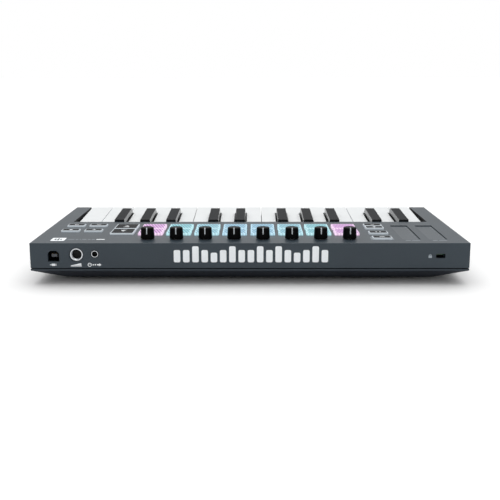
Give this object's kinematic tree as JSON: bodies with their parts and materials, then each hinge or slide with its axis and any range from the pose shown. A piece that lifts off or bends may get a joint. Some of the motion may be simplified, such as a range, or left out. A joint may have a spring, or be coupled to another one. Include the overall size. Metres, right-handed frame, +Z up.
{
  "type": "keyboard controller synthesizer",
  "caption": "Compact mini-key keyboard controller with drum pads, knobs, push buttons, touch strips and rear sockets, built as a jointed assembly.",
  "frame": {"origin": "centre of the footprint, on the table that the feet stand on", "axes": "+X the player's right, +Y to the rear panel, +Z up"},
  "size_m": [0.33, 0.172, 0.0411],
  "materials": {
    "case_top": "fine moulded grain, satin",
    "case_base": "fine moulded grain, satin",
    "foot_rubber": "matt moulded rubber",
    "screw_steel": "zinc plated",
    "chassis_plastic": "glass-filled, matt",
    "rod_steel": "drawn steel",
    "felt": "pressed wool felt",
    "circuit_board": "solder mask",
    "contact_silicone": "moulded silicone",
    "pot_plastic": "moulded",
    "pad_silicone": "lit translucent silicone",
    "strip_film": "printed film",
    "socket_shell": "tin plated",
    "jack_nickel": "nickel plated",
    "jack_plastic": "moulded",
    "key_white": "polished moulded ABS",
    "key_black": "satin top, moulded ABS",
    "knob_plastic": "soft matt moulding with a printed pointer",
    "button_silicone": "translucent silicone with printed top"
  },
  "bodies": {
    "case": {"top_case": "case_top", "bottom_case": "case_base", "feet": "foot_rubber", "screws": "screw_steel", "key_chassis": "chassis_plastic", "hinge_rod": "rod_steel", "key_felt": "felt", "key_pcb": "circuit_board", "contact_mat": "contact_silicone", "main_pcb": "circuit_board", "socket_pcb": "circuit_board", "pots": "pot_plastic", "pad_mat": "pad_silicone", "touch_strips": "strip_film", "usb_socket": "socket_shell", "sustain_jack": "jack_nickel", "midi_jack": "jack_plastic"},
    "key_c3_body": {"key_c3": "key_white"},
    "key_d3_body": {"key_d3": "key_white"},
    "key_e3_body": {"key_e3": "key_white"},
    "key_f3_body": {"key_f3": "key_white"},
    "key_g3_body": {"key_g3": "key_white"},
    "key_a3_body": {"key_a3": "key_white"},
    "key_b3_body": {"key_b3": "key_white"},
    "key_c4_body": {"key_c4": "key_white"},
    "key_d4_body": {"key_d4": "key_white"},
    "key_e4_body": {"key_e4": "key_white"},
    "key_f4_body": {"key_f4": "key_white"},
    "key_g4_body": {"key_g4": "key_white"},
    "key_a4_body": {"key_a4": "key_white"},
    "key_b4_body": {"key_b4": "key_white"},
    "key_c5_body": {"key_c5": "key_white"},
    "key_c3_sharp_body": {"key_c3_sharp": "key_black"},
    "key_d3_sharp_body": {"key_d3_sharp": "key_black"},
    "key_f3_sharp_body": {"key_f3_sharp": "key_black"},
    "key_g3_sharp_body": {"key_g3_sharp": "key_black"},
    "key_a3_sharp_body": {"key_a3_sharp": "key_black"},
    "key_c4_sharp_body": {"key_c4_sharp": "key_black"},
    "key_d4_sharp_body": {"key_d4_sharp": "key_black"},
    "key_f4_sharp_body": {"key_f4_sharp": "key_black"},
    "key_g4_sharp_body": {"key_g4_sharp": "key_black"},
    "key_a4_sharp_body": {"key_a4_sharp": "key_black"},
    "knob_1_body": {"knob_1": "knob_plastic"},
    "knob_2_body": {"knob_2": "knob_plastic"},
    "knob_3_body": {"knob_3": "knob_plastic"},
    "knob_4_body": {"knob_4": "knob_plastic"},
    "knob_5_body": {"knob_5": "knob_plastic"},
    "knob_6_body": {"knob_6": "knob_plastic"},
    "knob_7_body": {"knob_7": "knob_plastic"},
    "knob_8_body": {"knob_8": "knob_plastic"},
    "button_right_1_body": {"button_right_1": "button_silicone"},
    "button_right_2_body": {"button_right_2": "button_silicone"},
    "button_right_3_body": {"button_right_3": "button_silicone"},
    "button_right_4_body": {"button_right_4": "button_silicone"},
    "button_down_body": {"button_down": "button_silicone"},
    "button_up_body": {"button_up": "button_silicone"},
    "button_left_1_body": {"button_left_1": "button_silicone"},
    "button_left_2_body": {"button_left_2": "button_silicone"},
    "button_left_3_body": {"button_left_3": "button_silicone"},
    "button_left_4_body": {"button_left_4": "button_silicone"}
  },
  "joints": [
    {"name": "key_c3_press", "type": "hinge", "parent": "case", "child": "key_c3_body", "pos_m": [0, 0.0064, 0.023], "axis": [1, 0, 0], "range_deg": [0, 3.4], "stiffness_Nm_per_rad": 0.42, "springref_deg": -4.64},
    {"name": "key_d3_press", "type": "hinge", "parent": "case", "child": "key_d3_body", "pos_m": [0, 0.0064, 0.023], "axis": [1, 0, 0], "range_deg": [0, 3.4], "stiffness_Nm_per_rad": 0.42, "springref_deg": -4.64},
    {"name": "key_e3_press", "type": "hinge", "parent": "case", "child": "key_e3_body", "pos_m": [0, 0.0064, 0.023], "axis": [1, 0, 0], "range_deg": [0, 3.4], "stiffness_Nm_per_rad": 0.42, "springref_deg": -4.64},
    {"name": "key_f3_press", "type": "hinge", "parent": "case", "child": "key_f3_body", "pos_m": [0, 0.0064, 0.023], "axis": [1, 0, 0], "range_deg": [0, 3.4], "stiffness_Nm_per_rad": 0.42, "springref_deg": -4.64},
    {"name": "key_g3_press", "type": "hinge", "parent": "case", "child": "key_g3_body", "pos_m": [0, 0.0064, 0.023], "axis": [1, 0, 0], "range_deg": [0, 3.4], "stiffness_Nm_per_rad": 0.42, "springref_deg": -4.64},
    {"name": "key_a3_press", "type": "hinge", "parent": "case", "child": "key_a3_body", "pos_m": [0, 0.0064, 0.023], "axis": [1, 0, 0], "range_deg": [0, 3.4], "stiffness_Nm_per_rad": 0.42, "springref_deg": -4.64},
    {"name": "key_b3_press", "type": "hinge", "parent": "case", "child": "key_b3_body", "pos_m": [0, 0.0064, 0.023], "axis": [1, 0, 0], "range_deg": [0, 3.4], "stiffness_Nm_per_rad": 0.42, "springref_deg": -4.64},
    {"name": "key_c4_press", "type": "hinge", "parent": "case", "child": "key_c4_body", "pos_m": [0, 0.0064, 0.023], "axis": [1, 0, 0], "range_deg": [0, 3.4], "stiffness_Nm_per_rad": 0.42, "springref_deg": -4.64},
    {"name": "key_d4_press", "type": "hinge", "parent": "case", "child": "key_d4_body", "pos_m": [0, 0.0064, 0.023], "axis": [1, 0, 0], "range_deg": [0, 3.4], "stiffness_Nm_per_rad": 0.42, "springref_deg": -4.64},
    {"name": "key_e4_press", "type": "hinge", "parent": "case", "child": "key_e4_body", "pos_m": [0, 0.0064, 0.023], "axis": [1, 0, 0], "range_deg": [0, 3.4], "stiffness_Nm_per_rad": 0.42, "springref_deg": -4.64},
    {"name": "key_f4_press", "type": "hinge", "parent": "case", "child": "key_f4_body", "pos_m": [0, 0.0064, 0.023], "axis": [1, 0, 0], "range_deg": [0, 3.4], "stiffness_Nm_per_rad": 0.42, "springref_deg": -4.64},
    {"name": "key_g4_press", "type": "hinge", "parent": "case", "child": "key_g4_body", "pos_m": [0, 0.0064, 0.023], "axis": [1, 0, 0], "range_deg": [0, 3.4], "stiffness_Nm_per_rad": 0.42, "springref_deg": -4.64},
    {"name": "key_a4_press", "type": "hinge", "parent": "case", "child": "key_a4_body", "pos_m": [0, 0.0064, 0.023], "axis": [1, 0, 0], "range_deg": [0, 3.4], "stiffness_Nm_per_rad": 0.42, "springref_deg": -4.64},
    {"name": "key_b4_press", "type": "hinge", "parent": "case", "child": "key_b4_body", "pos_m": [0, 0.0064, 0.023], "axis": [1, 0, 0], "range_deg": [0, 3.4], "stiffness_Nm_per_rad": 0.42, "springref_deg": -4.64},
    {"name": "key_c5_press", "type": "hinge", "parent": "case", "child": "key_c5_body", "pos_m": [0, 0.0064, 0.023], "axis": [1, 0, 0], "range_deg": [0, 3.4], "stiffness_Nm_per_rad": 0.42, "springref_deg": -4.64},
    {"name": "key_c3_sharp_press", "type": "hinge", "parent": "case", "child": "key_c3_sharp_body", "pos_m": [0, 0.0064, 0.023], "axis": [1, 0, 0], "range_deg": [0, 3.4], "stiffness_Nm_per_rad": 0.36, "springref_deg": -4.46},
    {"name": "key_d3_sharp_press", "type": "hinge", "parent": "case", "child": "key_d3_sharp_body", "pos_m": [0, 0.0064, 0.023], "axis": [1, 0, 0], "range_deg": [0, 3.4], "stiffness_Nm_per_rad": 0.36, "springref_deg": -4.46},
    {"name": "key_f3_sharp_press", "type": "hinge", "parent": "case", "child": "key_f3_sharp_body", "pos_m": [0, 0.0064, 0.023], "axis": [1, 0, 0], "range_deg": [0, 3.4], "stiffness_Nm_per_rad": 0.36, "springref_deg": -4.46},
    {"name": "key_g3_sharp_press", "type": "hinge", "parent": "case", "child": "key_g3_sharp_body", "pos_m": [0, 0.0064, 0.023], "axis": [1, 0, 0], "range_deg": [0, 3.4], "stiffness_Nm_per_rad": 0.36, "springref_deg": -4.46},
    {"name": "key_a3_sharp_press", "type": "hinge", "parent": "case", "child": "key_a3_sharp_body", "pos_m": [0, 0.0064, 0.023], "axis": [1, 0, 0], "range_deg": [0, 3.4], "stiffness_Nm_per_rad": 0.36, "springref_deg": -4.46},
    {"name": "key_c4_sharp_press", "type": "hinge", "parent": "case", "child": "key_c4_sharp_body", "pos_m": [0, 0.0064, 0.023], "axis": [1, 0, 0], "range_deg": [0, 3.4], "stiffness_Nm_per_rad": 0.36, "springref_deg": -4.46},
    {"name": "key_d4_sharp_press", "type": "hinge", "parent": "case", "child": "key_d4_sharp_body", "pos_m": [0, 0.0064, 0.023], "axis": [1, 0, 0], "range_deg": [0, 3.4], "stiffness_Nm_per_rad": 0.36, "springref_deg": -4.46},
    {"name": "key_f4_sharp_press", "type": "hinge", "parent": "case", "child": "key_f4_sharp_body", "pos_m": [0, 0.0064, 0.023], "axis": [1, 0, 0], "range_deg": [0, 3.4], "stiffness_Nm_per_rad": 0.36, "springref_deg": -4.46},
    {"name": "key_g4_sharp_press", "type": "hinge", "parent": "case", "child": "key_g4_sharp_body", "pos_m": [0, 0.0064, 0.023], "axis": [1, 0, 0], "range_deg": [0, 3.4], "stiffness_Nm_per_rad": 0.36, "springref_deg": -4.46},
    {"name": "key_a4_sharp_press", "type": "hinge", "parent": "case", "child": "key_a4_sharp_body", "pos_m": [0, 0.0064, 0.023], "axis": [1, 0, 0], "range_deg": [0, 3.4], "stiffness_Nm_per_rad": 0.36, "springref_deg": -4.46},
    {"name": "knob_1_turn", "type": "hinge", "parent": "case", "child": "knob_1_body", "pos_m": [-0.07635, 0.0691, 0.032], "axis": [0, 0, 1], "range_deg": [-140, 140]},
    {"name": "knob_2_turn", "type": "hinge", "parent": "case", "child": "knob_2_body", "pos_m": [-0.05425, 0.0691, 0.032], "axis": [0, 0, 1], "range_deg": [-140, 140]},
    {"name": "knob_3_turn", "type": "hinge", "parent": "case", "child": "knob_3_body", "pos_m": [-0.03215, 0.0691, 0.032], "axis": [0, 0, 1], "range_deg": [-140, 140]},
    {"name": "knob_4_turn", "type": "hinge", "parent": "case", "child": "knob_4_body", "pos_m": [-0.01005, 0.0691, 0.032], "axis": [0, 0, 1], "range_deg": [-140, 140]},
    {"name": "knob_5_turn", "type": "hinge", "parent": "case", "child": "knob_5_body", "pos_m": [0.01205, 0.0691, 0.032], "axis": [0, 0, 1], "range_deg": [-140, 140]},
    {"name": "knob_6_turn", "type": "hinge", "parent": "case", "child": "knob_6_body", "pos_m": [0.03415, 0.0691, 0.032], "axis": [0, 0, 1], "range_deg": [-140, 140]},
    {"name": "knob_7_turn", "type": "hinge", "parent": "case", "child": "knob_7_body", "pos_m": [0.05625, 0.0691, 0.032], "axis": [0, 0, 1], "range_deg": [-140, 140]},
    {"name": "knob_8_turn", "type": "hinge", "parent": "case", "child": "knob_8_body", "pos_m": [0.07835, 0.0691, 0.032], "axis": [0, 0, 1], "range_deg": [-140, 140]},
    {"name": "button_right_1_press", "type": "slide", "parent": "case", "child": "button_right_1_body", "axis": [0, 0, -1], "range_m": [0, 0.0008], "stiffness_N_per_m": 1000, "springref_m": -0.0004},
    {"name": "button_right_2_press", "type": "slide", "parent": "case", "child": "button_right_2_body", "axis": [0, 0, -1], "range_m": [0, 0.0008], "stiffness_N_per_m": 1000, "springref_m": -0.0004},
    {"name": "button_right_3_press", "type": "slide", "parent": "case", "child": "button_right_3_body", "axis": [0, 0, -1], "range_m": [0, 0.0008], "stiffness_N_per_m": 1000, "springref_m": -0.0004},
    {"name": "button_right_4_press", "type": "slide", "parent": "case", "child": "button_right_4_body", "axis": [0, 0, -1], "range_m": [0, 0.0008], "stiffness_N_per_m": 1000, "springref_m": -0.0004},
    {"name": "button_down_press", "type": "slide", "parent": "case", "child": "button_down_body", "axis": [0, 0, -1], "range_m": [0, 0.0008], "stiffness_N_per_m": 1000, "springref_m": -0.0004},
    {"name": "button_up_press", "type": "slide", "parent": "case", "child": "button_up_body", "axis": [0, 0, -1], "range_m": [0, 0.0008], "stiffness_N_per_m": 1000, "springref_m": -0.0004},
    {"name": "button_left_1_press", "type": "slide", "parent": "case", "child": "button_left_1_body", "axis": [0, 0, -1], "range_m": [0, 0.0008], "stiffness_N_per_m": 1000, "springref_m": -0.0004},
    {"name": "button_left_2_press", "type": "slide", "parent": "case", "child": "button_left_2_body", "axis": [0, 0, -1], "range_m": [0, 0.0008], "stiffness_N_per_m": 1000, "springref_m": -0.0004},
    {"name": "button_left_3_press", "type": "slide", "parent": "case", "child": "button_left_3_body", "axis": [0, 0, -1], "range_m": [0, 0.0008], "stiffness_N_per_m": 1000, "springref_m": -0.0004},
    {"name": "button_left_4_press", "type": "slide", "parent": "case", "child": "button_left_4_body", "axis": [0, 0, -1], "range_m": [0, 0.0008], "stiffness_N_per_m": 1000, "springref_m": -0.0004}
  ]
}
